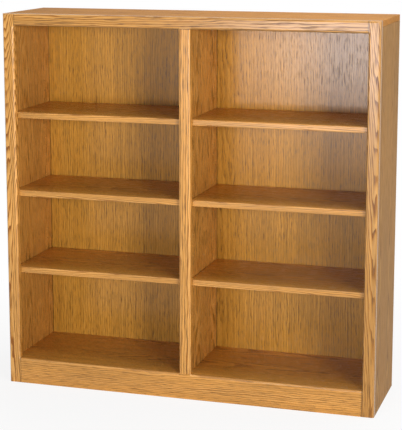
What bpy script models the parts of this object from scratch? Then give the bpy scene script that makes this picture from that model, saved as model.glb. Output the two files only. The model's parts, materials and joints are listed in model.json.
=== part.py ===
"""Double bookcase in oak: a carcass of boards, a face frame in front of it and six adjustable shelves.

The frame's front faces -Y, the width runs along X and Z is up. The origin lies on the floor,
under the middle of the bookcase. Boards meet in tongues and stopped grooves, the frame's rails in
mortises and tenons, and the shelves lie on turned pins in rows of holes.
"""
import math

import bmesh
import bpy
from mathutils import Vector

# Whole bookcase, in metres
WIDTH = 1.2192
HEIGHT = 1.2192
DEPTH = 0.3302

# Carcass boards
SIDE_THICKNESS = 0.01905
PARTITION_THICKNESS = 0.01905
TOP_THICKNESS = 0.01905
BOTTOM_THICKNESS = 0.01905
BACK_THICKNESS = 0.00635
BACK_REBATE = 0.009525
BACK_FLOOR_GAP = 0.003
BASE_RAIL_THICKNESS = 0.01905
BASE_SUPPORT_THICKNESS = 0.01905
TONGUE_LENGTH = 0.0065

# Face frame
FRAME_THICKNESS = 0.01905
STILE_WIDTH = 0.0381
CENTRE_STILE_WIDTH = 0.0381
TOP_RAIL_WIDTH = 0.0381
BOTTOM_RAIL_WIDTH = 0.08255
TENON_LENGTH = 0.0127
ROUNDOVER_RADIUS = 0.00635
ROUTER_BEARING_RADIUS = 0.0045

# Shelves
SHELVES_PER_BAY = 3
LEVEL_NAMES = ("lower", "middle", "upper")
SHELF_THICKNESS = 0.01905
SHELF_END_GAP = 0.0025
SHELF_FRONT_GAP = 0.002
SHELF_REAR_GAP = 0.002
EDGING_DEPTH = 0.01905
EDGING_ROUNDING = 0.003
EDGING_TONGUE = 0.006

# Rows of holes for the shelf pins
HOLE_PITCH = 0.032
HOLE_DEPTH = 0.0085
FRONT_ROW_SETBACK = 0.037
REAR_ROW_SETBACK = 0.037
LOWEST_HOLE_RISE = 0.1555
HIGHEST_HOLE_DROP = 0.215

# Turned shelf pins
PIN_SHANK_DIAMETER = 0.005
PIN_SHANK_LENGTH = 0.008
PIN_COLLAR_DIAMETER = 0.008
PIN_COLLAR_THICKNESS = 0.0012
PIN_REST_DIAMETER = 0.006
PIN_REST_LENGTH = 0.008

# Clearance between pieces that touch, and how far a cutter reaches past what it cuts
FIT = 0.0003
OVERCUT = 0.002

# Facets: sides of a pin or hole, steps of a quarter round and of a turned corner
PIN_SIDES = 8
ROUND_STEPS = 4
CORNER_STEPS = 3

# A tongue or tenon is the middle third of its board
TONGUE_SHARE = 3

# Planes that several pieces share
FRONT = -DEPTH / 2
FRAME_BACK = FRONT + FRAME_THICKNESS
CARCASS_FRONT = FRAME_BACK + FIT
REAR = DEPTH / 2
BACK_FRONT = REAR - BACK_THICKNESS
CARCASS_REAR = BACK_FRONT - FIT
FLOOR_TOP = BOTTOM_RAIL_WIDTH
FLOOR_UNDERSIDE = FLOOR_TOP - BOTTOM_THICKNESS
CEILING = HEIGHT - TOP_THICKNESS
SIDE_FACE = WIDTH / 2 - SIDE_THICKNESS
PARTITION_FACE = PARTITION_THICKNESS / 2
HOLE_ROWS = (CARCASS_FRONT + FRONT_ROW_SETBACK, CARCASS_REAR - REAR_ROW_SETBACK)
LOWEST_HOLE = FLOOR_TOP + LOWEST_HOLE_RISE
HOLES_PER_ROW = int((CEILING - HIGHEST_HOLE_DROP - LOWEST_HOLE) / HOLE_PITCH) + 1

# Finishes: linear colour, roughness, metallic
OAK_FRAME = ((0.64, 0.33, 0.11), 0.32, 0.0)
OAK_PANEL = ((0.47, 0.23, 0.08), 0.38, 0.0)
OAK_INSIDE = ((0.38, 0.17, 0.05), 0.4, 0.0)
OAK_BACK = ((0.42, 0.25, 0.09), 0.42, 0.0)
BRASSED_STEEL = ((0.62, 0.48, 0.24), 0.3, 1.0)


def clear_scene():
    for item in list(bpy.data.objects):
        bpy.data.objects.remove(item, do_unlink=True)


def make_material(name, finish):
    colour, roughness, metallic = finish
    material = bpy.data.materials.new(name)
    material.use_nodes = True
    shader = material.node_tree.nodes["Principled BSDF"]
    shader.inputs["Base Color"].default_value = (*colour, 1.0)
    shader.inputs["Roughness"].default_value = roughness
    shader.inputs["Metallic"].default_value = metallic
    return material


def finish_mesh(name, bm, finish=None):
    """Turn a bmesh into a mesh with its faces pointing out."""
    bmesh.ops.recalc_face_normals(bm, faces=bm.faces)
    mesh = bpy.data.meshes.new(name)
    bm.to_mesh(mesh)
    bm.free()
    if finish:
        mesh.materials.append(make_material(name + "_finish", finish))
    return mesh


def place(name, mesh, location=(0, 0, 0), parent=None):
    piece = bpy.data.objects.new(name, mesh)
    piece.location = location
    piece.parent = parent
    bpy.context.scene.collection.objects.link(piece)
    return piece


def add_box(bm, low, high):
    """Add a box between two corners and return its faces."""
    low = Vector(low)
    high = Vector(high)
    verts = bmesh.ops.create_cube(bm, size=1.0)["verts"]
    bmesh.ops.scale(bm, vec=high - low, verts=verts)
    bmesh.ops.translate(bm, vec=(low + high) / 2, verts=verts)
    return list({face for vert in verts for face in vert.link_faces})


def face_towards(faces, axis, sign):
    return max(faces, key=lambda face: face.normal[axis] * sign)


def extrude_middle(bm, face, margin, length):
    """Inset a face and push its middle out, or in where the length is negative."""
    normal = face.normal.copy()
    bmesh.ops.inset_region(bm, faces=[face], thickness=margin, use_even_offset=True)
    moved = bmesh.ops.extrude_discrete_faces(bm, faces=[face])["faces"]
    bmesh.ops.translate(bm, vec=normal * length, verts=list(moved[0].verts))


def board(name, low, high, finish, tongues=(), thickness=None):
    """A board between two corners; each tongue is (axis, sign, length) on one of its edges."""
    bm = bmesh.new()
    faces = add_box(bm, low, high)
    bm.normal_update()
    if tongues:
        margin = thickness / TONGUE_SHARE
        ends = [(face_towards(faces, axis, sign), length) for axis, sign, length in tongues]
        for face, length in ends:
            extrude_middle(bm, face, margin, length)
    return place(name, finish_mesh(name, bm, finish))


def pocket_for(low, high, axis, sign, length, thickness):
    """The groove that a board's tongue goes into: its box, grown by the fit, open at the mouth."""
    margin = thickness / TONGUE_SHARE - FIT
    pocket_low = [value + margin for value in low]
    pocket_high = [value - margin for value in high]
    if sign > 0:
        pocket_low[axis] = high[axis] - OVERCUT
        pocket_high[axis] = high[axis] + length + FIT
    else:
        pocket_low[axis] = low[axis] - length - FIT
        pocket_high[axis] = low[axis] + OVERCUT
    return pocket_low, pocket_high


def circle_points(radius, sides):
    """Points of a polygon with a flat on top, as (y, z) offsets."""
    turn = math.tau / sides
    return [
        (radius * math.cos(turn * (step + 0.5)), radius * math.sin(turn * (step + 0.5)))
        for step in range(sides)
    ]


def add_rings(bm, rings):
    """Skin closed rings of points into one body with flat ends."""
    loops = [[bm.verts.new(point) for point in ring] for ring in rings]
    count = len(loops[0])
    for first, second in zip(loops, loops[1:]):
        for step in range(count):
            after = (step + 1) % count
            bm.faces.new((first[step], first[after], second[after], second[step]))
    bm.faces.new(loops[0])
    bm.faces.new(loops[-1])


def add_peg(bm, start_x, end_x, y, z, diameter):
    outline = circle_points(diameter / 2, PIN_SIDES)
    add_rings(bm, [[(x, y + dy, z + dz) for dy, dz in outline] for x in (start_x, end_x)])


def cutter(name, bm):
    tool = place(name, finish_mesh(name, bm))
    tool.hide_render = True
    tool.display_type = "WIRE"
    return tool


def cut(piece, tool):
    modifier = piece.modifiers.new(tool.name, "BOOLEAN")
    modifier.operation = "DIFFERENCE"
    modifier.solver = "EXACT"
    modifier.object = tool


def cut_boxes(piece, title, boxes):
    """Cut grooves, mortises or a rebate that don't meet each other with one cutter."""
    bm = bmesh.new()
    for low, high in boxes:
        add_box(bm, low, high)
    cut(piece, cutter(f"{piece.name}_{title}", bm))


def drill(piece, holes):
    bm = bmesh.new()
    for hole in holes:
        add_peg(bm, *hole)
    cut(piece, cutter(piece.name + "_holes", bm))


def hole_height(index):
    return LOWEST_HOLE + index * HOLE_PITCH


def shelf_hole(level):
    """The hole, counted from the lowest, that carries a shelf: the middle of its share of the row."""
    return int(HOLES_PER_ROW * (level + 0.5) / SHELVES_PER_BAY)


def level_name(level):
    """Lower, middle or upper where a bay has three shelves, and otherwise a number from below."""
    if SHELVES_PER_BAY == len(LEVEL_NAMES):
        return LEVEL_NAMES[level]
    return f"level_{level + 1}"


def pin_holes(face_x, into):
    """Drilled holes in a board's face at face_x, going in the direction of into, 1 or -1."""
    diameter = PIN_SHANK_DIAMETER + 2 * FIT
    return [
        (face_x - into * OVERCUT, face_x + into * HOLE_DEPTH, y, hole_height(index), diameter)
        for y in HOLE_ROWS
        for index in range(HOLES_PER_ROW)
    ]


# Outlines of the boards that have tongues, which their neighbours' grooves are cut from
BOTTOM_BOX = (
    (-SIDE_FACE + FIT, CARCASS_FRONT, FLOOR_UNDERSIDE),
    (SIDE_FACE - FIT, CARCASS_REAR, FLOOR_TOP),
)
PARTITION_BOX = (
    (-PARTITION_FACE, CARCASS_FRONT, FLOOR_TOP + FIT),
    (PARTITION_FACE, CARCASS_REAR, CEILING - FIT),
)
TOP_RAIL_BOX = (
    (-WIDTH / 2 + STILE_WIDTH + FIT, FRONT, HEIGHT - TOP_RAIL_WIDTH),
    (WIDTH / 2 - STILE_WIDTH - FIT, FRAME_BACK, HEIGHT),
)
BOTTOM_RAIL_BOX = (
    (-WIDTH / 2 + STILE_WIDTH + FIT, FRONT, 0),
    (WIDTH / 2 - STILE_WIDTH - FIT, FRAME_BACK, BOTTOM_RAIL_WIDTH),
)
CENTRE_STILE_BOX = (
    (-CENTRE_STILE_WIDTH / 2, FRONT, BOTTOM_RAIL_WIDTH + FIT),
    (CENTRE_STILE_WIDTH / 2, FRAME_BACK, HEIGHT - TOP_RAIL_WIDTH - FIT),
)
BASE_RAIL_BOX = (
    (-SIDE_FACE + FIT, CARCASS_REAR - BASE_RAIL_THICKNESS, 0),
    (SIDE_FACE - FIT, CARCASS_REAR, FLOOR_UNDERSIDE - FIT),
)
BASE_SUPPORT_BOX = (
    (-BASE_SUPPORT_THICKNESS / 2, CARCASS_FRONT, 0),
    (BASE_SUPPORT_THICKNESS / 2, BASE_RAIL_BOX[0][1] - FIT, FLOOR_UNDERSIDE - FIT),
)


def side_box(hand):
    """A side board's corners; hand is 1 on the right and -1 on the left."""
    inner = hand * SIDE_FACE
    outer = hand * WIDTH / 2
    return (min(inner, outer), CARCASS_FRONT, 0), (max(inner, outer), REAR, CEILING - FIT)


def make_side(name, hand):
    low, high = side_box(hand)
    side = board(name, low, high, OAK_PANEL, [(2, 1, TONGUE_LENGTH)], SIDE_THICKNESS)
    groove = pocket_for(*BOTTOM_BOX, 0, hand, TONGUE_LENGTH, BOTTOM_THICKNESS)
    rebate_x = sorted((hand * (SIDE_FACE - OVERCUT), hand * (SIDE_FACE + BACK_REBATE)))
    rebate = (
        (rebate_x[0], BACK_FRONT, -OVERCUT),
        (rebate_x[1], REAR + OVERCUT, HEIGHT),
    )
    cut_boxes(side, "groove", [groove])
    cut_boxes(side, "rebate", [rebate])
    drill(side, pin_holes(hand * SIDE_FACE, hand))


def make_top():
    low = (-WIDTH / 2, CARCASS_FRONT, CEILING)
    high = (WIDTH / 2, REAR, HEIGHT)
    top = board("top_panel", low, high, OAK_PANEL)
    grooves = [
        pocket_for(*side_box(hand), 2, 1, TONGUE_LENGTH, SIDE_THICKNESS) for hand in (-1, 1)
    ]
    grooves.append(pocket_for(*PARTITION_BOX, 2, 1, TONGUE_LENGTH, PARTITION_THICKNESS))
    rebate = (
        (-SIDE_FACE - BACK_REBATE, BACK_FRONT, CEILING - OVERCUT),
        (SIDE_FACE + BACK_REBATE, REAR + OVERCUT, CEILING + BACK_REBATE),
    )
    cut_boxes(top, "grooves", grooves)
    cut_boxes(top, "rebate", [rebate])


def make_bottom():
    ends = [(0, 1, TONGUE_LENGTH), (0, -1, TONGUE_LENGTH)]
    bottom = board("bottom_panel", *BOTTOM_BOX, OAK_INSIDE, ends, BOTTOM_THICKNESS)
    groove = pocket_for(*PARTITION_BOX, 2, -1, TONGUE_LENGTH, PARTITION_THICKNESS)
    cut_boxes(bottom, "groove", [groove])


def make_partition():
    ends = [(2, 1, TONGUE_LENGTH), (2, -1, TONGUE_LENGTH)]
    partition = board("centre_partition", *PARTITION_BOX, OAK_INSIDE, ends, PARTITION_THICKNESS)
    drill(partition, pin_holes(PARTITION_FACE, -1) + pin_holes(-PARTITION_FACE, 1))


def make_back():
    reach = SIDE_FACE + BACK_REBATE - FIT
    low = (-reach, BACK_FRONT, BACK_FLOOR_GAP)
    high = (reach, REAR, CEILING + BACK_REBATE - FIT)
    board("back_panel", low, high, OAK_BACK)


def make_base():
    board("rear_base_rail", *BASE_RAIL_BOX, OAK_INSIDE)
    board("centre_base_support", *BASE_SUPPORT_BOX, OAK_INSIDE)


def roundover_profile():
    """What a quarter-round bit takes off an outer edge, as (inward, depth) points."""
    radius = ROUNDOVER_RADIUS
    points = [(-OVERCUT, -OVERCUT), (radius, -OVERCUT)]
    for step in range(ROUND_STEPS + 1):
        angle = math.pi / 2 * step / ROUND_STEPS
        points.append((radius * (1 - math.sin(angle)), radius * (1 - math.cos(angle))))
    points.append((-OVERCUT, radius))
    return points


def outer_edge_cutter(name, place_point, start, end):
    """Run the quarter-round profile along a straight outer edge of the frame."""
    bm = bmesh.new()
    profile = roundover_profile()
    add_rings(bm, [[place_point(inward, depth, along) for inward, depth in profile]
                   for along in (start, end)])
    return cutter(name, bm)


def opening_cutter(name, left, right):
    """What the bit takes off round one opening; its bearing leaves the corners turned."""
    bearing = ROUTER_BEARING_RADIUS
    low = BOTTOM_RAIL_WIDTH + bearing
    high = HEIGHT - TOP_RAIL_WIDTH - bearing
    corners = (
        (right - bearing, high),
        (left + bearing, high),
        (left + bearing, low),
        (right - bearing, low),
    )
    rings = []
    for step in range(ROUND_STEPS + 1):
        angle = math.pi / 2 * step / ROUND_STEPS
        radius = bearing + ROUNDOVER_RADIUS * (1 - math.cos(angle))
        depth = ROUNDOVER_RADIUS * (1 - math.sin(angle))
        rings.append(turned_outline(corners, radius, FRONT + depth))
    rings.append(turned_outline(corners, bearing + ROUNDOVER_RADIUS, FRONT - OVERCUT))
    bm = bmesh.new()
    add_rings(bm, rings)
    return cutter(name, bm)


def turned_outline(corners, radius, y):
    points = []
    for number, (x, z) in enumerate(corners):
        for step in range(CORNER_STEPS + 1):
            angle = math.pi / 2 * (number + step / CORNER_STEPS)
            points.append((x + radius * math.cos(angle), y, z + radius * math.sin(angle)))
    return points


def make_frame():
    """Two outer stiles, the rails tenoned between them and the centre stile tenoned into the rails."""
    left = board("left_stile", (-WIDTH / 2, FRONT, 0),
                 (-WIDTH / 2 + STILE_WIDTH, FRAME_BACK, HEIGHT), OAK_FRAME)
    right = board("right_stile", (WIDTH / 2 - STILE_WIDTH, FRONT, 0),
                  (WIDTH / 2, FRAME_BACK, HEIGHT), OAK_FRAME)
    both_ends = [(0, 1, TENON_LENGTH), (0, -1, TENON_LENGTH)]
    top_rail = board("top_rail", *TOP_RAIL_BOX, OAK_FRAME, both_ends, FRAME_THICKNESS)
    bottom_rail = board("bottom_rail", *BOTTOM_RAIL_BOX, OAK_FRAME, both_ends, FRAME_THICKNESS)
    upright_ends = [(2, 1, TENON_LENGTH), (2, -1, TENON_LENGTH)]
    centre = board("centre_stile", *CENTRE_STILE_BOX, OAK_FRAME, upright_ends, FRAME_THICKNESS)

    for stile, hand in ((left, -1), (right, 1)):
        mortises = [
            pocket_for(*rail_box, 0, hand, TENON_LENGTH, FRAME_THICKNESS)
            for rail_box in (TOP_RAIL_BOX, BOTTOM_RAIL_BOX)
        ]
        cut_boxes(stile, "mortises", mortises)
    for rail, sign in ((top_rail, 1), (bottom_rail, -1)):
        mortise = pocket_for(*CENTRE_STILE_BOX, 2, sign, TENON_LENGTH, FRAME_THICKNESS)
        cut_boxes(rail, "mortise", [mortise])

    opening_edge = WIDTH / 2 - STILE_WIDTH
    left_opening = opening_cutter("left_opening_rounding", -opening_edge, -CENTRE_STILE_WIDTH / 2)
    right_opening = opening_cutter("right_opening_rounding", CENTRE_STILE_WIDTH / 2, opening_edge)
    left_edge = outer_edge_cutter(
        "left_edge_rounding", lambda inward, depth, z: (inward - WIDTH / 2, FRONT + depth, z),
        -OVERCUT, HEIGHT + OVERCUT)
    right_edge = outer_edge_cutter(
        "right_edge_rounding", lambda inward, depth, z: (WIDTH / 2 - inward, FRONT + depth, z),
        -OVERCUT, HEIGHT + OVERCUT)
    top_edge = outer_edge_cutter(
        "top_edge_rounding", lambda inward, depth, x: (x, FRONT + depth, HEIGHT - inward),
        -WIDTH / 2 - OVERCUT, WIDTH / 2 + OVERCUT)
    tools = {
        left: (left_opening, left_edge, top_edge),
        right: (right_opening, right_edge, top_edge),
        top_rail: (left_opening, right_opening, top_edge),
        bottom_rail: (left_opening, right_opening),
        centre: (left_opening, right_opening),
    }
    for member, member_tools in tools.items():
        for tool in member_tools:
            cut(member, tool)


def shelf_meshes(length, depth):
    """A shelf's core, grooved along its front, and its solid edging, about the shelf's own middle."""
    margin = SHELF_THICKNESS / TONGUE_SHARE
    joint = -depth / 2 + EDGING_DEPTH
    core = bmesh.new()
    faces = add_box(core, (-length / 2, joint + FIT, 0), (length / 2, depth / 2, SHELF_THICKNESS))
    core.normal_update()
    extrude_middle(core, face_towards(faces, 1, -1), margin - FIT, -EDGING_TONGUE)

    edging = bmesh.new()
    faces = add_box(edging, (-length / 2, -depth / 2, 0), (length / 2, joint, SHELF_THICKNESS))
    edging.normal_update()
    front_edges = [edge for edge in face_towards(faces, 1, -1).edges
                   if edge.calc_length() > SHELF_THICKNESS]
    extrude_middle(edging, face_towards(faces, 1, 1), margin, EDGING_TONGUE)
    bmesh.ops.bevel(edging, geom=front_edges, offset=EDGING_ROUNDING, offset_type="OFFSET",
                    segments=ROUND_STEPS, profile=0.5, affect="EDGES")
    return (finish_mesh("shelf_core", core, OAK_INSIDE),
            finish_mesh("shelf_edging", edging, OAK_FRAME))


def pin_mesh():
    """A pin lying along +X: shank in the board, collar against its face, rest under the shelf."""
    stations = (
        (-PIN_SHANK_LENGTH, PIN_SHANK_DIAMETER),
        (FIT, PIN_SHANK_DIAMETER),
        (FIT, PIN_COLLAR_DIAMETER),
        (FIT + PIN_COLLAR_THICKNESS, PIN_COLLAR_DIAMETER),
        (FIT + PIN_COLLAR_THICKNESS, PIN_REST_DIAMETER),
        (PIN_REST_LENGTH, PIN_REST_DIAMETER),
    )
    bm = bmesh.new()
    add_rings(bm, [[(x, y, z) for y, z in circle_points(diameter / 2, PIN_SIDES)]
                   for x, diameter in stations])
    return finish_mesh("shelf_pin", bm, BRASSED_STEEL)


def make_shelves():
    bay_width = SIDE_FACE - PARTITION_FACE
    bay_middle = (SIDE_FACE + PARTITION_FACE) / 2
    front = CARCASS_FRONT + SHELF_FRONT_GAP
    rear = BACK_FRONT - SHELF_REAR_GAP
    core_mesh, edging_mesh = shelf_meshes(bay_width - 2 * SHELF_END_GAP, rear - front)
    pin = pin_mesh()
    pin_top = PIN_REST_DIAMETER / 2 * math.cos(math.pi / PIN_SIDES)
    for bay, hand in (("left", -1), ("right", 1)):
        for level in range(SHELVES_PER_BAY):
            pin_height = hole_height(shelf_hole(level))
            title = f"{bay}_{level_name(level)}"
            seat = bpy.data.objects.new(title + "_shelf_axis", None)
            seat.location = (hand * bay_middle, (front + rear) / 2, pin_height + pin_top + FIT)
            bpy.context.scene.collection.objects.link(seat)
            place(title + "_shelf", core_mesh, parent=seat)
            place(title + "_shelf_edging", edging_mesh, parent=seat)
            for wall, wall_name in ((-1, "left"), (1, "right")):
                face_x = hand * bay_middle + wall * bay_width / 2
                for y, row in zip(HOLE_ROWS, ("front", "rear")):
                    support = place(f"{title}_pin_{wall_name}_{row}", pin, (face_x, y, pin_height))
                    support.rotation_euler.z = 0 if wall < 0 else math.pi


def build():
    clear_scene()
    make_side("left_side", -1)
    make_side("right_side", 1)
    make_top()
    make_bottom()
    make_partition()
    make_back()
    make_base()
    make_frame()
    make_shelves()


build()
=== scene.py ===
import json
import math

import bmesh
import bpy
from mathutils import Matrix, Vector

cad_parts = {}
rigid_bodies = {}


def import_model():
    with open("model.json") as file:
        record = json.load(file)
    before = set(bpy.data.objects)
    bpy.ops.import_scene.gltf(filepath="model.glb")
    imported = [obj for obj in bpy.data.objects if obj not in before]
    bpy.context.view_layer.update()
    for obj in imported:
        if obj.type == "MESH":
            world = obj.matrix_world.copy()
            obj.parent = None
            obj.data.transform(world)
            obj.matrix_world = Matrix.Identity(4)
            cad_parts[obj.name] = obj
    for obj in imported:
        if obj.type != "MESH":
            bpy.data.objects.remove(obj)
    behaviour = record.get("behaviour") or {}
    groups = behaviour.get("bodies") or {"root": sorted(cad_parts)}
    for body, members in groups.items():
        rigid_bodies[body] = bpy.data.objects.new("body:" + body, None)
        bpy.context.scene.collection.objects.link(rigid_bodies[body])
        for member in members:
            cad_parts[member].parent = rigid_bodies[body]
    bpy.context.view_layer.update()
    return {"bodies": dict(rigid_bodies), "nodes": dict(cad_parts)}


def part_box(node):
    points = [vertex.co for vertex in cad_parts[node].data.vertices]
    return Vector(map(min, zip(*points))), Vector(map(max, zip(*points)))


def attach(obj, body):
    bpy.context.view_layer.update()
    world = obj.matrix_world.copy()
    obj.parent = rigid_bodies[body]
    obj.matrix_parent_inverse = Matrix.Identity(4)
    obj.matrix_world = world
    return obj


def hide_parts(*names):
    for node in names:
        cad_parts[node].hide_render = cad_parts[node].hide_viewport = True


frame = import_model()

MM = 0.001

# Camera: about where the photograph was taken from, in metres and degrees. FRAME_SHIFT is smaller
# than in the photograph, so that the bookcase stays in the picture from every side
CAMERA_PLACE = (1.3411, -4.3310, 1.5052)
CAMERA_TURN_LEFT = 17.17
CAMERA_TILT_DOWN = 9.26
FOCAL_PIXELS = 1425.3
LONG_SIDE_PIXELS = 430.0
SENSOR_MM = 36.0
FRAME_SHIFT = -0.14

# Joinery, edges and rows of holes, with lengths in metres. FIT is the clearance, and OVERCUT is
# how far a tool reaches past what it cuts
FIT = 0.3 * MM
OVERCUT = 2 * MM
TONGUE = 6.5 * MM
TENON = 12.7 * MM
ROUNDOVER = 6.35 * MM
BEARING = 4.5 * MM
EDGING_TONGUE = 6 * MM
EDGING_ROUNDING = 3 * MM
TOP_EASING = 1.2 * MM
HOLE_PITCH = 32 * MM
HOLES_PER_ROW = 24
HOLES_UNDER_LOWER_SHELF = 4
HOLE_RADIUS = 2.7 * MM
HOLE_DEPTH = 8.5 * MM
HOLE_CHAMFER = 0.3 * MM

# The board's thickness divided by this is the margin all round a tongue or tenon
TONGUE_SHARE = 3

# Turned shelf pins, in metres along the pin: rounded nose, shank with that nose, collar and what
# is broken off its corners, blunted tip, and the whole pin
PIN_NOSE = 0.6 * MM
PIN_SHANK = 8.3 * MM
PIN_COLLAR = 1.2 * MM
PIN_BREAK = 0.2 * MM
PIN_TIP = 0.5 * MM
PIN_LENGTH = 16 * MM

# Radii of the shank and of the shelf's rest as shares of the collar's, and of a turned end as a
# share of what it ends
SHANK_SHARE = 5 / 8
REST_SHARE = 6 / 8
BLUNT_END = 0.7
TIP_SHOULDER = 0.9
BROKEN_CORNER = 0.94

# Facets: steps of a quarter round, of a turned corner and of an eased edge, sides of a drilled
# hole and of a pin, and the angle in degrees from which a corner stays crisp
ROUND_STEPS = 10
CORNER_STEPS = 8
EASING_STEPS = 4
HOLE_SIDES = 20
PIN_SIDES = 32
SHARP_DEGREES = 35

# Which ends of a board carry a tongue: axis, ends and length
TONGUES = {
    "left_side": (2, (1,), TONGUE),
    "right_side": (2, (1,), TONGUE),
    "centre_partition": (2, (-1, 1), TONGUE),
    "bottom_panel": (0, (-1, 1), TONGUE),
    "top_rail": (0, (-1, 1), TENON),
    "bottom_rail": (0, (-1, 1), TENON),
    "centre_stile": (2, (-1, 1), TENON),
}

AXES = {"x": Vector((1, 0, 0)), "y": Vector((0, 1, 0)), "z": Vector((0, 0, 1))}

# Oak, from pale late wood to the pores that hold the most stain. RAW_TONES is bare wood. The
# right side's outer tones are darker wood, taken darker still as painted shade on that side. The
# rubbed tone is a rounded edge where sanding thinned the stain, made lighter still as a painted
# highlight
FRAME_TONES = ("#E6AC5E", "#D09444", "#92560A", "#6A4200")
INNER_TONES = ("#E0AA5E", "#CE9446", "#9C6618", "#5C3E00")
OUTER_TONES_WITH_PAINTED_SHADE = ("#BE8E44", "#AA7832", "#84581A", "#5C3E0A")
TOP_TONES = ("#D89C54", "#C88A42", "#9C622A", "#6A4018")
SHELF_TONES = ("#DCA24C", "#C58A3A", "#905C20", "#5E3A12")
BACK_TONES = ("#DAA850", "#C48E36", "#90600C", "#704C00")
RAW_TONES = ("#DCC49A", "#CDB184", "#B0905F", "#8A6C45")
RUBBED_AND_HIGHLIT_TONE = "#EEBA7E"

# Noise hovers round a half: the span of it that a pattern uses, and the level of a pore's edge
NOISE_LOW = 0.3
NOISE_HIGH = 0.7
PORE_LEVEL = 0.57

# Where the heart of the trunk lies across a veneer leaf, as a share of the leaf's width
LEAF_HEART = 0.4

# Along the trunk from one shelf's board to the next, and from one edging strip to the next, and
# how far to either side of the heart the strips are taken, in mm
BOARD_STEP = 350
STRIP_STEP = 410
STRIP_OFFSET = 14

# Studio floor, in metres: how far it reaches, and from where to where its own white grows from
# the share that it has at the bookcase to the whole
FLOOR_REACH = 40.0
FLOOR_FADE_START = 0.6
FLOOR_FADE_END = 1.6
FLOOR_WHITE_NEARBY = 0.86


def linear(hex_colour):
    """An sRGB hex colour as linear RGBA."""
    values = [int(hex_colour[i:i + 2], 16) / 255 for i in (1, 3, 5)]
    return tuple(v / 12.92 if v <= 0.04045 else ((v + 0.055) / 1.055) ** 2.4 for v in values) + (1.0,)


def add(tree, kind, values=None, links=None, **settings):
    """Add a node with its settings, the values of its inputs and the links into them.

    Inputs go by name or number. On Map Range, 1 and 2 are the ends of the span that is read, and
    3 and 4 what they become. On a colour Mix, 0 is the factor, and 6 and 7 are the two colours.
    """
    node = tree.nodes.new(kind)
    for name, setting in settings.items():
        setattr(node, name, setting)
    for name, value in (values or {}).items():
        node.inputs[name].default_value = value
    for name, socket in (links or {}).items():
        tree.links.new(socket, node.inputs[name])
    return node


def new_material(name):
    material = bpy.data.materials.new(name)
    material.use_nodes = True
    material.node_tree.nodes.clear()
    return material, material.node_tree


def stretched_noise(tree, place, per_metre, detail=2.0, roughness=0.5):
    """Noise whose grains are 1 / per_metre metres across, into and along the board."""
    scaled = add(tree, "ShaderNodeVectorMath", {1: per_metre}, {0: place}, operation="MULTIPLY")
    return add(tree, "ShaderNodeTexNoise", {"Scale": 1.0, "Detail": detail, "Roughness": roughness},
               {"Vector": scaled.outputs[0]})


def board_place(tree, node, along, across, pith, lean, leaf):
    """Object coordinates turned to the board's width, thickness and length, from its pith line."""
    low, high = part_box(node)
    length, width = AXES[along], AXES[across]
    turn = Matrix((width, length.cross(width), length))
    whole = Matrix.Rotation(lean, 3, "X") @ turn
    start = -(whole @ ((Vector(low) + Vector(high)) / 2)) - Vector(pith) * MM
    place = add(tree, "ShaderNodeTexCoord").outputs["Object"]
    board = add(tree, "ShaderNodeMapping", {"Location": start, "Rotation": whole.to_euler("XYZ")},
                {"Vector": place}).outputs[0]
    if not leaf:
        return board
    # Veneer leaves laid side by side, each the mirror of the last
    split = add(tree, "ShaderNodeSeparateXYZ", links={0: board})
    folded = add(tree, "ShaderNodeMath", {1: leaf * MM}, {0: split.outputs[0]}, operation="PINGPONG")
    across_place = add(tree, "ShaderNodeMath", {1: leaf * MM * LEAF_HEART}, {0: folded.outputs[0]},
                       operation="SUBTRACT")
    return add(tree, "ShaderNodeCombineXYZ", links={
        0: across_place.outputs[0], 1: split.outputs[1], 2: split.outputs[2]}).outputs[0]


def ring_phase(tree, board, ring, wander, ripple, taper):
    """How many growth rings a point lies from the pith, bent by the trunk's own wandering."""
    # Slow bends of the trunk, about 90 mm wide and 700 mm long
    drift = stretched_noise(tree, board, (11, 11, 1.4), 2.5)
    swing = wander * MM * 2
    bent = add(tree, "ShaderNodeVectorMath", {1: (swing, swing, 0), 2: (-swing / 2, -swing / 2, 0)},
               {0: drift.outputs["Color"]}, operation="MULTIPLY_ADD")
    fibre = add(tree, "ShaderNodeVectorMath", links={0: board, 1: bent.outputs[0]}, operation="ADD")
    flat = add(tree, "ShaderNodeVectorMath", {1: (1, 1, 0)}, {0: fibre.outputs[0]},
               operation="MULTIPLY")
    radius = add(tree, "ShaderNodeVectorMath", links={0: flat.outputs[0]},
                 operation="LENGTH").outputs["Value"]
    if any(taper):
        # The trunk narrows along the board, which draws its rings as long pointed arches
        run = add(tree, "ShaderNodeSeparateXYZ", links={0: board}).outputs[2]
        slope = add(tree, "ShaderNodeMath", {1: taper[1], 2: taper[0]}, {0: run},
                    operation="MULTIPLY_ADD")
        radius = add(tree, "ShaderNodeMath", links={0: run, 1: slope.outputs[0], 2: radius},
                     operation="MULTIPLY_ADD").outputs[0]
    turns = add(tree, "ShaderNodeMath", {1: 1 / (ring * MM)}, {0: radius}, operation="MULTIPLY")
    # Ripples of the ring lines, about 12 mm wide and 90 mm long
    waves = stretched_noise(tree, board, (80, 80, 11), 1.5)
    return add(tree, "ShaderNodeMath", {1: ripple}, {0: waves.outputs["Fac"], 2: turns.outputs[0]},
               operation="MULTIPLY_ADD")


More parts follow.
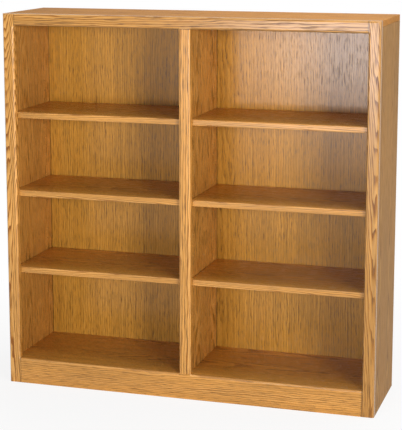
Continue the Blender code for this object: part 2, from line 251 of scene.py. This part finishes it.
def dark_lines_and_painted_shade(tree, corners):
    """Darker lines along joints and inside corners, and painted shade along the frame's shaded
    reveals.

    corners lists them as planes across the whole board, each an axis and a place on it.
    """
    places = add(tree, "ShaderNodeSeparateXYZ", links={
        0: add(tree, "ShaderNodeTexCoord").outputs["Object"]}).outputs
    nearest = None
    for axis, spot in corners:
        offset = add(tree, "ShaderNodeMath", {1: spot}, {0: places[axis]}, operation="SUBTRACT")
        distance = add(tree, "ShaderNodeMath", links={0: offset.outputs[0]}, operation="ABSOLUTE")
        if nearest:
            nearest = add(tree, "ShaderNodeMath", links={0: nearest.outputs[0],
                                                         1: distance.outputs[0]},
                          operation="MINIMUM")
        else:
            nearest = distance
    # Real lines are about 1 mm wide; these fade out 4 mm from their plane, so that they show
    return add(tree, "ShaderNodeMapRange", {1: 1.0 * MM, 2: 4.0 * MM, 3: 0.55, 4: 1.0},
               {0: nearest.outputs[0]}).outputs[0]


def set_stops(ramp, stops):
    """Give a colour ramp its stops, each a spot and a colour, in order."""
    ramp.elements[0].position, ramp.elements[0].color = stops[0]
    ramp.elements[1].position, ramp.elements[1].color = stops[-1]
    for spot, colour in stops[1:-1]:
        ramp.elements.new(spot).color = colour


def arris_wear_and_highlight(tree):
    """How far a surface turns away from the board's flat faces: 1 on the crown of a rounded edge."""
    normal = add(tree, "ShaderNodeTexCoord").outputs["Normal"]
    size = add(tree, "ShaderNodeVectorMath", links={0: normal}, operation="ABSOLUTE")
    parts = add(tree, "ShaderNodeSeparateXYZ", links={0: size.outputs[0]}).outputs
    larger = add(tree, "ShaderNodeMath", links={0: parts[0], 1: parts[1]}, operation="MAXIMUM")
    largest = add(tree, "ShaderNodeMath", links={0: larger.outputs[0], 1: parts[2]},
                  operation="MAXIMUM")
    # The cosines of about 10 and 32 degrees away from flat
    return add(tree, "ShaderNodeMapRange", {1: 0.985, 2: 0.85, 3: 0.0, 4: 1.0},
               {0: largest.outputs[0]}).outputs[0]


def oak(name, tones, node, along, across, pith=(0, 45, 0), lean=0.035, taper=(0, 0), leaf=None,
        ring=4.4, wander=14.0, ripple=0.9, contrast=0.75, pores=(480, 22), flecks=0.6, blur=0.1,
        mottle=1.0, level=1.0, roughness=0.27, gloss=0.4, arris=0.25, corners=()):
    """Plain-sawn red oak, wiped with a golden stain and brushed with satin varnish.

    The eye gets pointed arches of growth rings, dark open-pore flecks along the grain and a soft
    sheen. The rings are shells round a pith line that leans through the board, so faces, edges and
    end grain agree. pith is the pith's place from the board's middle: across, into and along it,
    in mm, as are leaf, ring and wander. lean is in radians, and ripple is how far a ring line
    wavers, in rings. taper is how fast the trunk narrows at the pith's place and how that changes
    along the board. pores counts the pores in a metre across and along, flecks is how dark they
    are and blur how softly they end. level is how light this board is among its neighbours, arris
    is how far its rounded edges are rubbed and lightened by a painted highlight, and corners lists
    the planes of its darker lines along joints and inside corners and of painted shade along
    shaded reveals.
    """
    material, tree = new_material(name)
    light, middle, dark, pore = [linear(tone) for tone in tones]
    board = board_place(tree, node, along, across, pith, lean, leaf)
    phase = ring_phase(tree, board, ring, wander, ripple, taper).outputs[0]
    season = add(tree, "ShaderNodeMath", links={0: phase}, operation="FRACT").outputs[0]
    # A ring starts with its porous dark band and hardens to pale late wood
    ring_tone = add(tree, "ShaderNodeValToRGB", links={0: season})
    set_stops(ring_tone.color_ramp, (
        (0.0, light), (0.05, dark), (0.2, dark), (0.4, middle), (0.68, light), (1.0, light)))
    # Wet and dry years: the rings drift between strong and faint, over about four rings
    years = add(tree, "ShaderNodeTexNoise", {"Scale": 0.23, "Detail": 1.0}, {"W": phase},
                noise_dimensions="1D")
    strength = add(tree, "ShaderNodeMapRange", {1: 0.38, 2: 0.62, 3: contrast * 0.4, 4: contrast},
                   {0: years.outputs["Fac"]})
    ringed = add(tree, "ShaderNodeMix", {6: middle}, {0: strength.outputs[0], 7: ring_tone.outputs[0]},
                 data_type="RGBA")
    # Open pores: real ones are 0.3 mm wide and 10 mm long, drawn several times that so they show
    fleck = stretched_noise(tree, board, (pores[0], pores[0], pores[1]), 2.0, 0.6)
    pore_mask = add(tree, "ShaderNodeMapRange",
                    {1: PORE_LEVEL - blur / 2, 2: PORE_LEVEL + blur / 2, 3: 0.0, 4: flecks},
                    {0: fleck.outputs["Fac"]})
    # The pores are dark where a ring begins and faint in its late wood
    early = add(tree, "ShaderNodeMapRange", {1: 0.0, 2: 0.7, 3: 1.0, 4: 0.35}, {0: season})
    pore_depth = add(tree, "ShaderNodeMath", links={0: pore_mask.outputs[0], 1: early.outputs[0]},
                     operation="MULTIPLY")
    flecked = add(tree, "ShaderNodeMix", {7: pore}, {0: pore_depth.outputs[0], 6: ringed.outputs[2]},
                  data_type="RGBA")
    # Rounded edges, where sanding thinned the stain, and made lighter still as a painted highlight
    rubbed_and_highlit = add(tree, "ShaderNodeMath", {1: arris}, {0: arris_wear_and_highlight(tree)}, operation="MULTIPLY")
    worn_and_highlit = add(tree, "ShaderNodeMix", {7: linear(RUBBED_AND_HIGHLIT_TONE)},
               {0: rubbed_and_highlit.outputs[0], 6: flecked.outputs[2]}, data_type="RGBA")
    # Streaks where the stain took unevenly, about 10 mm wide and 400 mm long, and cloudy patches
    streaks = stretched_noise(tree, board, (95, 95, 2.5), 3.0, 0.6)
    clouds = stretched_noise(tree, board, (6, 6, 2.2), 2.0)
    streak_level = add(tree, "ShaderNodeMapRange",
                       {1: NOISE_LOW, 2: NOISE_HIGH, 3: level * (1 - 0.16 * mottle),
                        4: level * (1 + 0.13 * mottle)},
                       {0: streaks.outputs["Fac"]})
    cloud_level = add(tree, "ShaderNodeMapRange",
                      {1: NOISE_LOW, 2: NOISE_HIGH, 3: 1 - 0.1 * mottle, 4: 1 + 0.1 * mottle},
                      {0: clouds.outputs["Fac"]})
    stain_and_shade = add(tree, "ShaderNodeMath", links={0: streak_level.outputs[0],
                                                 1: cloud_level.outputs[0]}, operation="MULTIPLY")
    # Darker lines along joints and inside corners, and painted shade along shaded reveals
    if corners:
        stain_and_shade = add(tree, "ShaderNodeMath", links={0: stain_and_shade.outputs[0],
                                                     1: dark_lines_and_painted_shade(tree, corners)},
                      operation="MULTIPLY")
    colour = add(tree, "ShaderNodeVectorMath", links={0: worn_and_highlit.outputs[2],
                                                      "Scale": stain_and_shade.outputs[0]},
                 operation="SCALE")
    rough = add(tree, "ShaderNodeMapRange", {1: 0.0, 2: flecks, 3: roughness, 4: roughness + 0.1},
                {0: pore_depth.outputs[0]})
    relief = add(tree, "ShaderNodeMath", {1: -1.0}, {0: pore_depth.outputs[0]}, operation="MULTIPLY")
    bump = add(tree, "ShaderNodeBump", {"Strength": 0.2, "Distance": 0.3 * MM},
               {"Height": relief.outputs[0]})
    shader = add(tree, "ShaderNodeBsdfPrincipled",
                 {"Specular IOR Level": gloss},
                 {"Base Color": colour.outputs[0], "Roughness": rough.outputs[0],
                  "Normal": bump.outputs[0]})
    add(tree, "ShaderNodeOutputMaterial", links={"Surface": shader.outputs[0]})
    return material


def brass_plate(name):
    """Turned steel, brass plated: a warm metal with fine lathe marks that dull it a little."""
    material, tree = new_material(name)
    place = add(tree, "ShaderNodeTexCoord").outputs["Object"]
    # Marks about 0.4 mm apart along the pin, several times coarser than real ones
    marks = stretched_noise(tree, place, (2500, 400, 400), 2.0)
    rough = add(tree, "ShaderNodeMapRange", {1: NOISE_LOW, 2: NOISE_HIGH, 3: 0.24, 4: 0.42},
                {0: marks.outputs["Fac"]})
    tone = add(tree, "ShaderNodeValToRGB", links={0: marks.outputs["Fac"]})
    set_stops(tone.color_ramp, ((NOISE_LOW, linear("#C9A95C")), (NOISE_HIGH, linear("#E3C77F"))))
    shader = add(tree, "ShaderNodeBsdfPrincipled", {"Metallic": 1.0},
                 {"Base Color": tone.outputs[0], "Roughness": rough.outputs[0]})
    add(tree, "ShaderNodeOutputMaterial", links={"Surface": shader.outputs[0]})
    return material


def mesh_from(name, bm):
    """Turn a bmesh into a mesh with its faces pointing out."""
    bmesh.ops.recalc_face_normals(bm, faces=bm.faces)
    mesh = bpy.data.meshes.new(name)
    bm.to_mesh(mesh)
    bm.free()
    return mesh


def add_box(bm, low, high):
    verts = bmesh.ops.create_cube(bm, size=1.0)["verts"]
    bmesh.ops.scale(bm, vec=high - low, verts=verts)
    bmesh.ops.translate(bm, vec=(low + high) / 2, verts=verts)
    bm.normal_update()
    return list({face for vert in verts for face in vert.link_faces})


def add_rings(bm, rings):
    """Skin closed rings of points into one body with flat ends."""
    loops = [[bm.verts.new(point) for point in ring] for ring in rings]
    count = len(loops[0])
    for first, second in zip(loops, loops[1:]):
        for step in range(count):
            after = (step + 1) % count
            bm.faces.new((first[step], first[after], second[after], second[step]))
    bm.faces.new(loops[0])
    bm.faces.new(loops[-1])


def add_turned(bm, stations, y, z, sides):
    """Turn stations of (x, radius) round an axis along X through y and z."""
    rings = []
    for x, radius in stations:
        angles = [math.tau * (step + 0.5) / sides for step in range(sides)]
        rings.append([(x, y + radius * math.cos(a), z + radius * math.sin(a)) for a in angles])
    add_rings(bm, rings)


def face_towards(faces, axis, sign):
    return max(faces, key=lambda face: face.normal[axis] * sign)


def stand_tongue(bm, face, length, margin):
    """Leave the middle of a board's end or edge standing as a tongue."""
    outward = face.normal.copy()
    bmesh.ops.inset_region(bm, faces=[face], thickness=margin, use_even_offset=True)
    moved = bmesh.ops.extrude_discrete_faces(bm, faces=[face])["faces"]
    bmesh.ops.translate(bm, vec=outward * length, verts=list(moved[0].verts))


def trunk(node):
    """The corners of a board without its tongues."""
    low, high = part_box(node)
    axis, ends, length = TONGUES.get(node, (0, (), 0))
    low[axis] += length if -1 in ends else 0
    high[axis] -= length if 1 in ends else 0
    return low, high


def blank(node, eased=None):
    """A board as it comes from the saw, with its tongues and eased edges but nothing cut in it."""
    low, high = trunk(node)
    axis, ends, length = TONGUES.get(node, (0, (), 0))
    bm = bmesh.new()
    faces = add_box(bm, low, high)
    for face in [face_towards(faces, axis, sign) for sign in ends]:
        stand_tongue(bm, face, length, min(high - low) / TONGUE_SHARE)
    if eased:
        edges = [edge for edge in bm.edges if eased((edge.verts[0].co + edge.verts[1].co) / 2)]
        bmesh.ops.bevel(bm, geom=edges, offset=TOP_EASING, offset_type="OFFSET",
                        segments=EASING_STEPS, profile=0.5, affect="EDGES")
    return mesh_from(node + "_blank", bm)


def box_tool(low, high):
    bm = bmesh.new()
    add_box(bm, Vector(low), Vector(high))
    return mesh_from("groove_tool", bm)


def tongue_tool(node, sign):
    """The groove or mortise for a board's tongue: its box grown by the fit, open at the mouth."""
    low, high = trunk(node)
    axis, _, length = TONGUES[node]
    margin = min(high - low) / TONGUE_SHARE - FIT
    mouth = high[axis] if sign > 0 else low[axis]
    for index in range(3):
        low[index] += margin
        high[index] -= margin
    low[axis], high[axis] = sorted((mouth - sign * OVERCUT, mouth + sign * (length + FIT)))
    return box_tool(low, high)


def hole_tool(face_x, into):
    """The two rows of pin holes in one face of a board, each with a touch of chamfer."""
    pins = [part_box(f"left_lower_pin_left_{row}") for row in ("front", "rear")]
    lowest = (pins[0][0].z + pins[0][1].z) / 2 - HOLES_UNDER_LOWER_SHELF * HOLE_PITCH
    stations = ((-OVERCUT, HOLE_RADIUS + HOLE_CHAMFER), (0, HOLE_RADIUS + HOLE_CHAMFER),
                (HOLE_CHAMFER, HOLE_RADIUS), (HOLE_DEPTH, HOLE_RADIUS))
    bm = bmesh.new()
    for low, high in pins:
        for index in range(HOLES_PER_ROW):
            add_turned(bm, [(face_x + into * depth, radius) for depth, radius in stations],
                       (low.y + high.y) / 2, lowest + index * HOLE_PITCH, HOLE_SIDES)
    return mesh_from("hole_tool", bm)


def edge_tool(place_point, start, end):
    """What a quarter-round bit takes off a straight outer edge of the frame."""
    profile = [(-OVERCUT, -OVERCUT), (ROUNDOVER, -OVERCUT)]
    for step in range(ROUND_STEPS + 1):
        angle = math.pi / 2 * step / ROUND_STEPS
        profile.append((ROUNDOVER * (1 - math.sin(angle)), ROUNDOVER * (1 - math.cos(angle))))
    profile.append((-OVERCUT, ROUNDOVER))
    bm = bmesh.new()
    add_rings(bm, [[place_point(inward, depth, run) for inward, depth in profile]
                   for run in (start, end)])
    return mesh_from("edge_tool", bm)


def opening_tool(left, right, bottom, top, front):
    """What the bit takes off round an opening; its bearing leaves the corners turned."""
    corners = ((right - BEARING, top - BEARING), (left + BEARING, top - BEARING),
               (left + BEARING, bottom + BEARING), (right - BEARING, bottom + BEARING))
    levels = []
    for step in range(ROUND_STEPS + 1):
        angle = math.pi / 2 * step / ROUND_STEPS
        levels.append((BEARING + ROUNDOVER * (1 - math.cos(angle)),
                       front + ROUNDOVER * (1 - math.sin(angle))))
    levels.append((BEARING + ROUNDOVER, front - OVERCUT))
    rings = []
    for radius, y in levels:
        ring = []
        for number, (x, z) in enumerate(corners):
            for step in range(CORNER_STEPS + 1):
                angle = math.pi / 2 * (number + step / CORNER_STEPS)
                ring.append((x + radius * math.cos(angle), y, z + radius * math.sin(angle)))
        rings.append(ring)
    bm = bmesh.new()
    add_rings(bm, rings)
    return mesh_from("opening_tool", bm)


def carve(node, blank_mesh, tools):
    """Cut the tools out of a blank, and leave only the finished mesh."""
    work = bpy.data.objects.new(node + "_work", blank_mesh)
    bpy.context.scene.collection.objects.link(work)
    helpers = []
    for tool in tools:
        helper = bpy.data.objects.new("tool", tool)
        bpy.context.scene.collection.objects.link(helper)
        helpers.append(helper)
        cut = work.modifiers.new("cut", "BOOLEAN")
        cut.operation = "DIFFERENCE"
        cut.solver = "EXACT"
        cut.object = helper
    bpy.context.view_layer.update()
    graph = bpy.context.evaluated_depsgraph_get()
    mesh = bpy.data.meshes.new_from_object(work.evaluated_get(graph), depsgraph=graph)
    for item in (work, *helpers):
        bpy.data.objects.remove(item, do_unlink=True)
    return mesh


def shade(mesh):
    """Smooth the rounded faces and keep the corners between flat ones crisp."""
    mesh.shade_smooth()
    mesh.set_sharp_from_angle(angle=math.radians(SHARP_DEGREES))


def stand_in(nodes, mesh, material, body="carcass"):
    """Put a finely worked piece in the place of its solids."""
    piece = bpy.data.objects.new(nodes[0] + "_worked", mesh)
    bpy.context.scene.collection.objects.link(piece)
    mesh.materials.clear()
    mesh.materials.append(material)
    shade(mesh)
    weigh = piece.modifiers.new("flat_faces_first", "WEIGHTED_NORMAL")
    weigh.keep_sharp = True
    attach(piece, body)
    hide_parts(*nodes)


def dress(node, material):
    """Give a CAD node its material."""
    piece = frame["nodes"][node]
    if piece.material_slots:
        for slot in piece.material_slots:
            slot.material = material
    else:
        piece.data.materials.append(material)


# Frame: two stiles, two rails and the centre stile, with routed edges
frame_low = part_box("left_stile")[0]
frame_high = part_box("right_stile")[1]
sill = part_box("bottom_rail")[1].z
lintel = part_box("top_rail")[0].z
left_opening = opening_tool(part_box("left_stile")[1].x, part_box("centre_stile")[0].x,
                            sill, lintel, frame_low.y)
right_opening = opening_tool(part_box("centre_stile")[1].x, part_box("right_stile")[0].x,
                             sill, lintel, frame_low.y)
left_edge = edge_tool(lambda inward, depth, z: (frame_low.x + inward, frame_low.y + depth, z),
                      -OVERCUT, frame_high.z + OVERCUT)
right_edge = edge_tool(lambda inward, depth, z: (frame_high.x - inward, frame_low.y + depth, z),
                       -OVERCUT, frame_high.z + OVERCUT)
top_edge = edge_tool(lambda inward, depth, x: (x, frame_low.y + depth, frame_high.z - inward),
                     frame_low.x - OVERCUT, frame_high.x + OVERCUT)

rail_ends = ((0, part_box("left_stile")[1].x), (0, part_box("right_stile")[0].x))

stand_in(["left_stile"],
         carve("left_stile", blank("left_stile"), [
             tongue_tool("top_rail", -1), tongue_tool("bottom_rail", -1), left_opening, left_edge,
             top_edge]),
         oak("left_stile_oak", FRAME_TONES, "left_stile", "z", "x", (-13, 11, 0),
                          lean=0, taper=(-0.065, -0.085), wander=7, ripple=1.5, ring=5.0,
                          contrast=1.1, pores=(230, 18), flecks=0.8))
# Along its inner edge, whose rounding faces away from the light, the stile is darkened as painted
# shade
stand_in(["right_stile"],
         carve("right_stile", blank("right_stile"), [
             tongue_tool("top_rail", 1), tongue_tool("bottom_rail", 1), right_opening, right_edge,
             top_edge]),
         oak("right_stile_oak", FRAME_TONES, "right_stile", "z", "x", (11, 13, 60),
                          lean=0, taper=(-0.05, -0.025), wander=7, ripple=1.5, ring=4.2,
                          contrast=0.95, level=0.77, pores=(230, 18), flecks=0.7,
                          corners=rail_ends[1:]))
stand_in(["centre_stile"],
         carve("centre_stile", blank("centre_stile"), [left_opening, right_opening]),
         oak("centre_stile_oak", FRAME_TONES, "centre_stile", "z", "x", (90, 40, 1500),
                          lean=0.01, wander=6, ripple=1.4, ring=7.5, contrast=1.2, flecks=1.0,
                          pores=(210, 14), level=1.06))
# The rail has darker joint lines at its ends, and painted shade along its lower edge over the openings
stand_in(["top_rail"],
         carve("top_rail", blank("top_rail"), [
             tongue_tool("centre_stile", 1), left_opening, right_opening, top_edge]),
         oak("top_rail_oak", FRAME_TONES, "top_rail", "x", "z", (60, 45, 0),
                          lean=0.02, ripple=1.4, ring=7.0, contrast=1.2, flecks=1.0,
                          pores=(210, 14), level=0.81, corners=(*rail_ends, (2, lintel))))
stand_in(["bottom_rail"],
         carve("bottom_rail", blank("bottom_rail"), [
             tongue_tool("centre_stile", -1), left_opening, right_opening]),
         oak("bottom_rail_oak", FRAME_TONES, "bottom_rail", "x", "z", (70, 60, 700),
                          lean=0.015, ripple=1.4, ring=5.0, contrast=0.8, flecks=0.7,
                          pores=(280, 26), level=0.99, corners=rail_ends))

# Carcass boards that show rows of holes or an eased edge
back_low, back_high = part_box("back_panel")
back_rebate = box_tool((back_low.x - FIT, back_low.y, -OVERCUT),
                       (back_high.x + FIT, back_high.y + OVERCUT, back_high.z + FIT))
stand_in(["left_side"],
         carve("left_side", blank("left_side"), [
             tongue_tool("bottom_panel", -1), back_rebate,
             hole_tool(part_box("left_side")[1].x, -1)]),
         oak("left_side_oak", INNER_TONES, "left_side", "z", "y", (40, 95, 0),
                                 leaf=230, lean=0.03, gloss=0.3, contrast=0.5, pores=(100, 26),
                                 flecks=0.7, blur=0.24, corners=((1, back_low.y),)))
# The right side's outer face: darker wood, taken darker still as painted shade
stand_in(["right_side"],
         carve("right_side", blank("right_side"), [
             tongue_tool("bottom_panel", 1), back_rebate,
             hole_tool(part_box("right_side")[0].x, 1)]),
         oak("right_side_oak", OUTER_TONES_WITH_PAINTED_SHADE, "right_side", "z", "y",
                                 (-30, 85, 900), leaf=210, lean=0.03, gloss=0.06, roughness=0.45,
                                 contrast=0.7, pores=(200, 28), flecks=0.4, blur=0.2))
stand_in(["centre_partition"],
         carve("centre_partition", blank("centre_partition"), [
             hole_tool(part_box("centre_partition")[0].x, 1),
             hole_tool(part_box("centre_partition")[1].x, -1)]),
         oak("partition_oak", INNER_TONES, "centre_partition", "z", "y",
                                 (20, 90, 1700), leaf=220, lean=-0.03, gloss=0.3, contrast=0.8,
                                 pores=(90, 22), flecks=1.0, blur=0.16, level=1.1,
                                 corners=((1, back_low.y),)))
# The top is eased along its ends and its rear, but not where it meets the frame
top_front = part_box("top_panel")[0].y
stand_in(["top_panel"],
         carve("top_panel", blank("top_panel", eased=lambda middle: middle.y > top_front + MM), [
             tongue_tool("left_side", 1), tongue_tool("right_side", 1),
             tongue_tool("centre_partition", 1), back_rebate]),
         oak("top_panel_oak", TOP_TONES, "top_panel", "x", "y", (60, 80, 300),
                                 leaf=190, lean=0.02, gloss=0.02, roughness=0.5, arris=0.2))

# Boards that keep their solids
dress("bottom_panel", oak("bottom_panel_oak", SHELF_TONES, "bottom_panel", "x", "y", (50, 90, 400),
                          leaf=200, gloss=0.2))
inside_corners = [(0, face.x) for node in ("left_side", "centre_partition", "right_side")
                  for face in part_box(node)]
dress("back_panel", oak("back_panel_oak", BACK_TONES, "back_panel", "z", "x", (0, 70, 200),
                        lean=0.02, ring=8.0, ripple=1.6, gloss=0.37, contrast=0.35, roughness=0.24,
                        pores=(300, 38), flecks=0.9, blur=0.18, level=0.95,
                        corners=inside_corners))
dress("rear_base_rail", oak("rear_rail_oak", RAW_TONES, "rear_base_rail", "x", "z", (10, 40, 0)))
dress("centre_base_support", oak("base_support_oak", RAW_TONES, "centre_base_support", "y", "z",
                                 (10, 40, 0)))


def edging_mesh(node):
    """A shelf's solid edging: its front arrises rounded, a tongue along its back."""
    low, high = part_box(node)
    high.y -= EDGING_TONGUE
    thickness = high.z - low.z
    bm = bmesh.new()
    faces = add_box(bm, low, high)
    front_edges = [edge for edge in face_towards(faces, 1, -1).edges
                   if edge.calc_length() > thickness * 2]
    stand_tongue(bm, face_towards(faces, 1, 1), EDGING_TONGUE, thickness / TONGUE_SHARE)
    bmesh.ops.bevel(bm, geom=front_edges, offset=EDGING_ROUNDING, offset_type="OFFSET",
                    segments=ROUND_STEPS, profile=0.5, affect="EDGES")
    return mesh_from(node + "_mesh", bm)


for number, body in enumerate(b for b in frame["bodies"] if b.endswith("_shelf")):
    dress(body, oak(body + "_oak", SHELF_TONES, body, "x", "y", (45, 85, BOARD_STEP * number),
                    leaf=200, gloss=0.2))
    edging = body + "_edging"
    stand_in([edging], edging_mesh(edging),
             oak(edging + "_oak", FRAME_TONES, edging, "x", "z",
                 (STRIP_OFFSET * (-1) ** number, 30, STRIP_STEP * number), lean=0.02, wander=6,
                 ring=3.0), body)


def pin_mesh(node):
    """A turned pin: shank with a blunt nose, collar with broken corners, rest under the shelf."""
    low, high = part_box(node)
    collar = (high.z - low.z) / 2
    rest = collar * REST_SHARE
    shank = collar * SHANK_SHARE
    collar_end = PIN_SHANK + PIN_COLLAR
    into_left = "_pin_left_" in node
    start, way = (low.x, 1) if into_left else (high.x, -1)
    # Along the pin from the shank's nose, with the radius there
    stations = ((0, shank * BLUNT_END), (PIN_NOSE, shank), (PIN_SHANK, shank),
                (PIN_SHANK, collar * BROKEN_CORNER), (PIN_SHANK + PIN_BREAK, collar),
                (collar_end - PIN_BREAK, collar), (collar_end, collar * BROKEN_CORNER),
                (collar_end, rest), (PIN_LENGTH - PIN_TIP, rest),
                (PIN_LENGTH - PIN_TIP / 5, rest * TIP_SHOULDER), (PIN_LENGTH, rest * BLUNT_END))
    bm = bmesh.new()
    add_turned(bm, [(start + way * along, radius) for along, radius in stations],
               (low.y + high.y) / 2, (low.z + high.z) / 2, PIN_SIDES)
    return mesh_from(node + "_mesh", bm)


pin_metal = brass_plate("shelf_pin_brass_plate")
for node in sorted(frame["nodes"]):
    if "_pin_" in node:
        stand_in([node], pin_mesh(node), pin_metal)


def rays_that_see_white(tree):
    """1 for camera, glossy and transmission rays, which see the studio plain white, and else 0."""
    rays = add(tree, "ShaderNodeLightPath")
    seen = add(tree, "ShaderNodeMath", links={0: rays.outputs["Is Camera Ray"],
                                              1: rays.outputs["Is Glossy Ray"]}, operation="MAXIMUM")
    return add(tree, "ShaderNodeMath", links={0: seen.outputs[0],
                                              1: rays.outputs["Is Transmission Ray"]},
               operation="MAXIMUM").outputs[0]


def studio_paint(name):
    """Matt white studio floor: near the bookcase it keeps a faint share of the shadow."""
    material, tree = new_material(name)
    paint = add(tree, "ShaderNodeBsdfDiffuse", {"Color": linear("#F8F8F7")})
    glow = add(tree, "ShaderNodeEmission", {"Color": linear("#FFFFFF"), "Strength": 1.0})
    place = add(tree, "ShaderNodeTexCoord").outputs["Object"]
    reach = add(tree, "ShaderNodeVectorMath", links={0: place}, operation="LENGTH")
    fade = add(tree, "ShaderNodeMapRange",
               {1: FLOOR_FADE_START, 2: FLOOR_FADE_END, 3: FLOOR_WHITE_NEARBY, 4: 1.0},
               {0: reach.outputs["Value"]})
    share = add(tree, "ShaderNodeMath", links={0: rays_that_see_white(tree), 1: fade.outputs[0]},
                operation="MULTIPLY")
    mixed = add(tree, "ShaderNodeMixShader", links={0: share.outputs[0], 1: paint.outputs[0],
                                                    2: glow.outputs[0]})
    add(tree, "ShaderNodeOutputMaterial", links={"Surface": mixed.outputs[0]})
    return material


def make_floor():
    bm = bmesh.new()
    bmesh.ops.create_grid(bm, x_segments=8, y_segments=8, size=FLOOR_REACH)
    mesh = bpy.data.meshes.new("studio_floor")
    bm.to_mesh(mesh)
    bm.free()
    mesh.materials.append(studio_paint("studio_floor_paint"))
    floor = bpy.data.objects.new("studio_floor", mesh)
    bpy.context.scene.collection.objects.link(floor)


def make_softbox(name, place, target, width, height, watts, tint="#FFFFFF"):
    lamp = bpy.data.lights.new(name, "AREA")
    lamp.shape = "RECTANGLE"
    lamp.size = width
    lamp.size_y = height
    lamp.energy = watts
    lamp.color = linear(tint)[:3]
    box = bpy.data.objects.new(name, lamp)
    box.location = place
    box.rotation_euler = (Vector(target) - Vector(place)).to_track_quat("-Z", "Y").to_euler()
    bpy.context.scene.collection.objects.link(box)


def make_world(level):
    world = bpy.data.worlds.new("studio_air")
    world.use_nodes = True
    tree = world.node_tree
    tree.nodes.clear()
    fill = add(tree, "ShaderNodeBackground", {"Color": linear("#F6F8FF"), "Strength": level})
    white = add(tree, "ShaderNodeBackground", {"Color": linear("#FFFFFF"), "Strength": 1.0})
    mixed = add(tree, "ShaderNodeMixShader", links={0: rays_that_see_white(tree),
                                                    1: fill.outputs[0], 2: white.outputs[0]})
    add(tree, "ShaderNodeOutputWorld", links={"Surface": mixed.outputs[0]})
    bpy.context.scene.world = world


def make_camera():
    data = bpy.data.cameras.new("photo_camera")
    data.sensor_width = SENSOR_MM
    data.lens = FOCAL_PIXELS / LONG_SIDE_PIXELS * SENSOR_MM
    data.shift_y = FRAME_SHIFT
    camera = bpy.data.objects.new("photo_camera", data)
    camera.location = CAMERA_PLACE
    camera.rotation_euler = (math.radians(90 - CAMERA_TILT_DOWN), 0, math.radians(CAMERA_TURN_LEFT))
    bpy.context.scene.collection.objects.link(camera)
    bpy.context.scene.camera = camera


make_floor()
make_world(0.17)
# The key is turned upwards, so that the light falls off towards the floor
make_softbox("key_right", (4.3, -5.3, 1.7), (0, 0, 12.0), 1.7, 1.7, 580, "#FFF6E8")
make_softbox("front_sheen", (-0.3, -4.6, 0.77), (0.6, 0, 1.1), 1.3, 0.5, 66, "#F7F8FF")
make_softbox("overhead", (1.0, -0.2, 3.4), (0.4, 0, 0), 2.0, 1.4, 54)
# Below the level of the top, so that the top doesn't mirror it
make_softbox("rear_fill", (-1.0, 4.8, 0.55), (0, 0, 0.6), 2.4, 1.0, 130)
make_camera()

bpy.context.scene.view_settings.view_transform = "Standard"
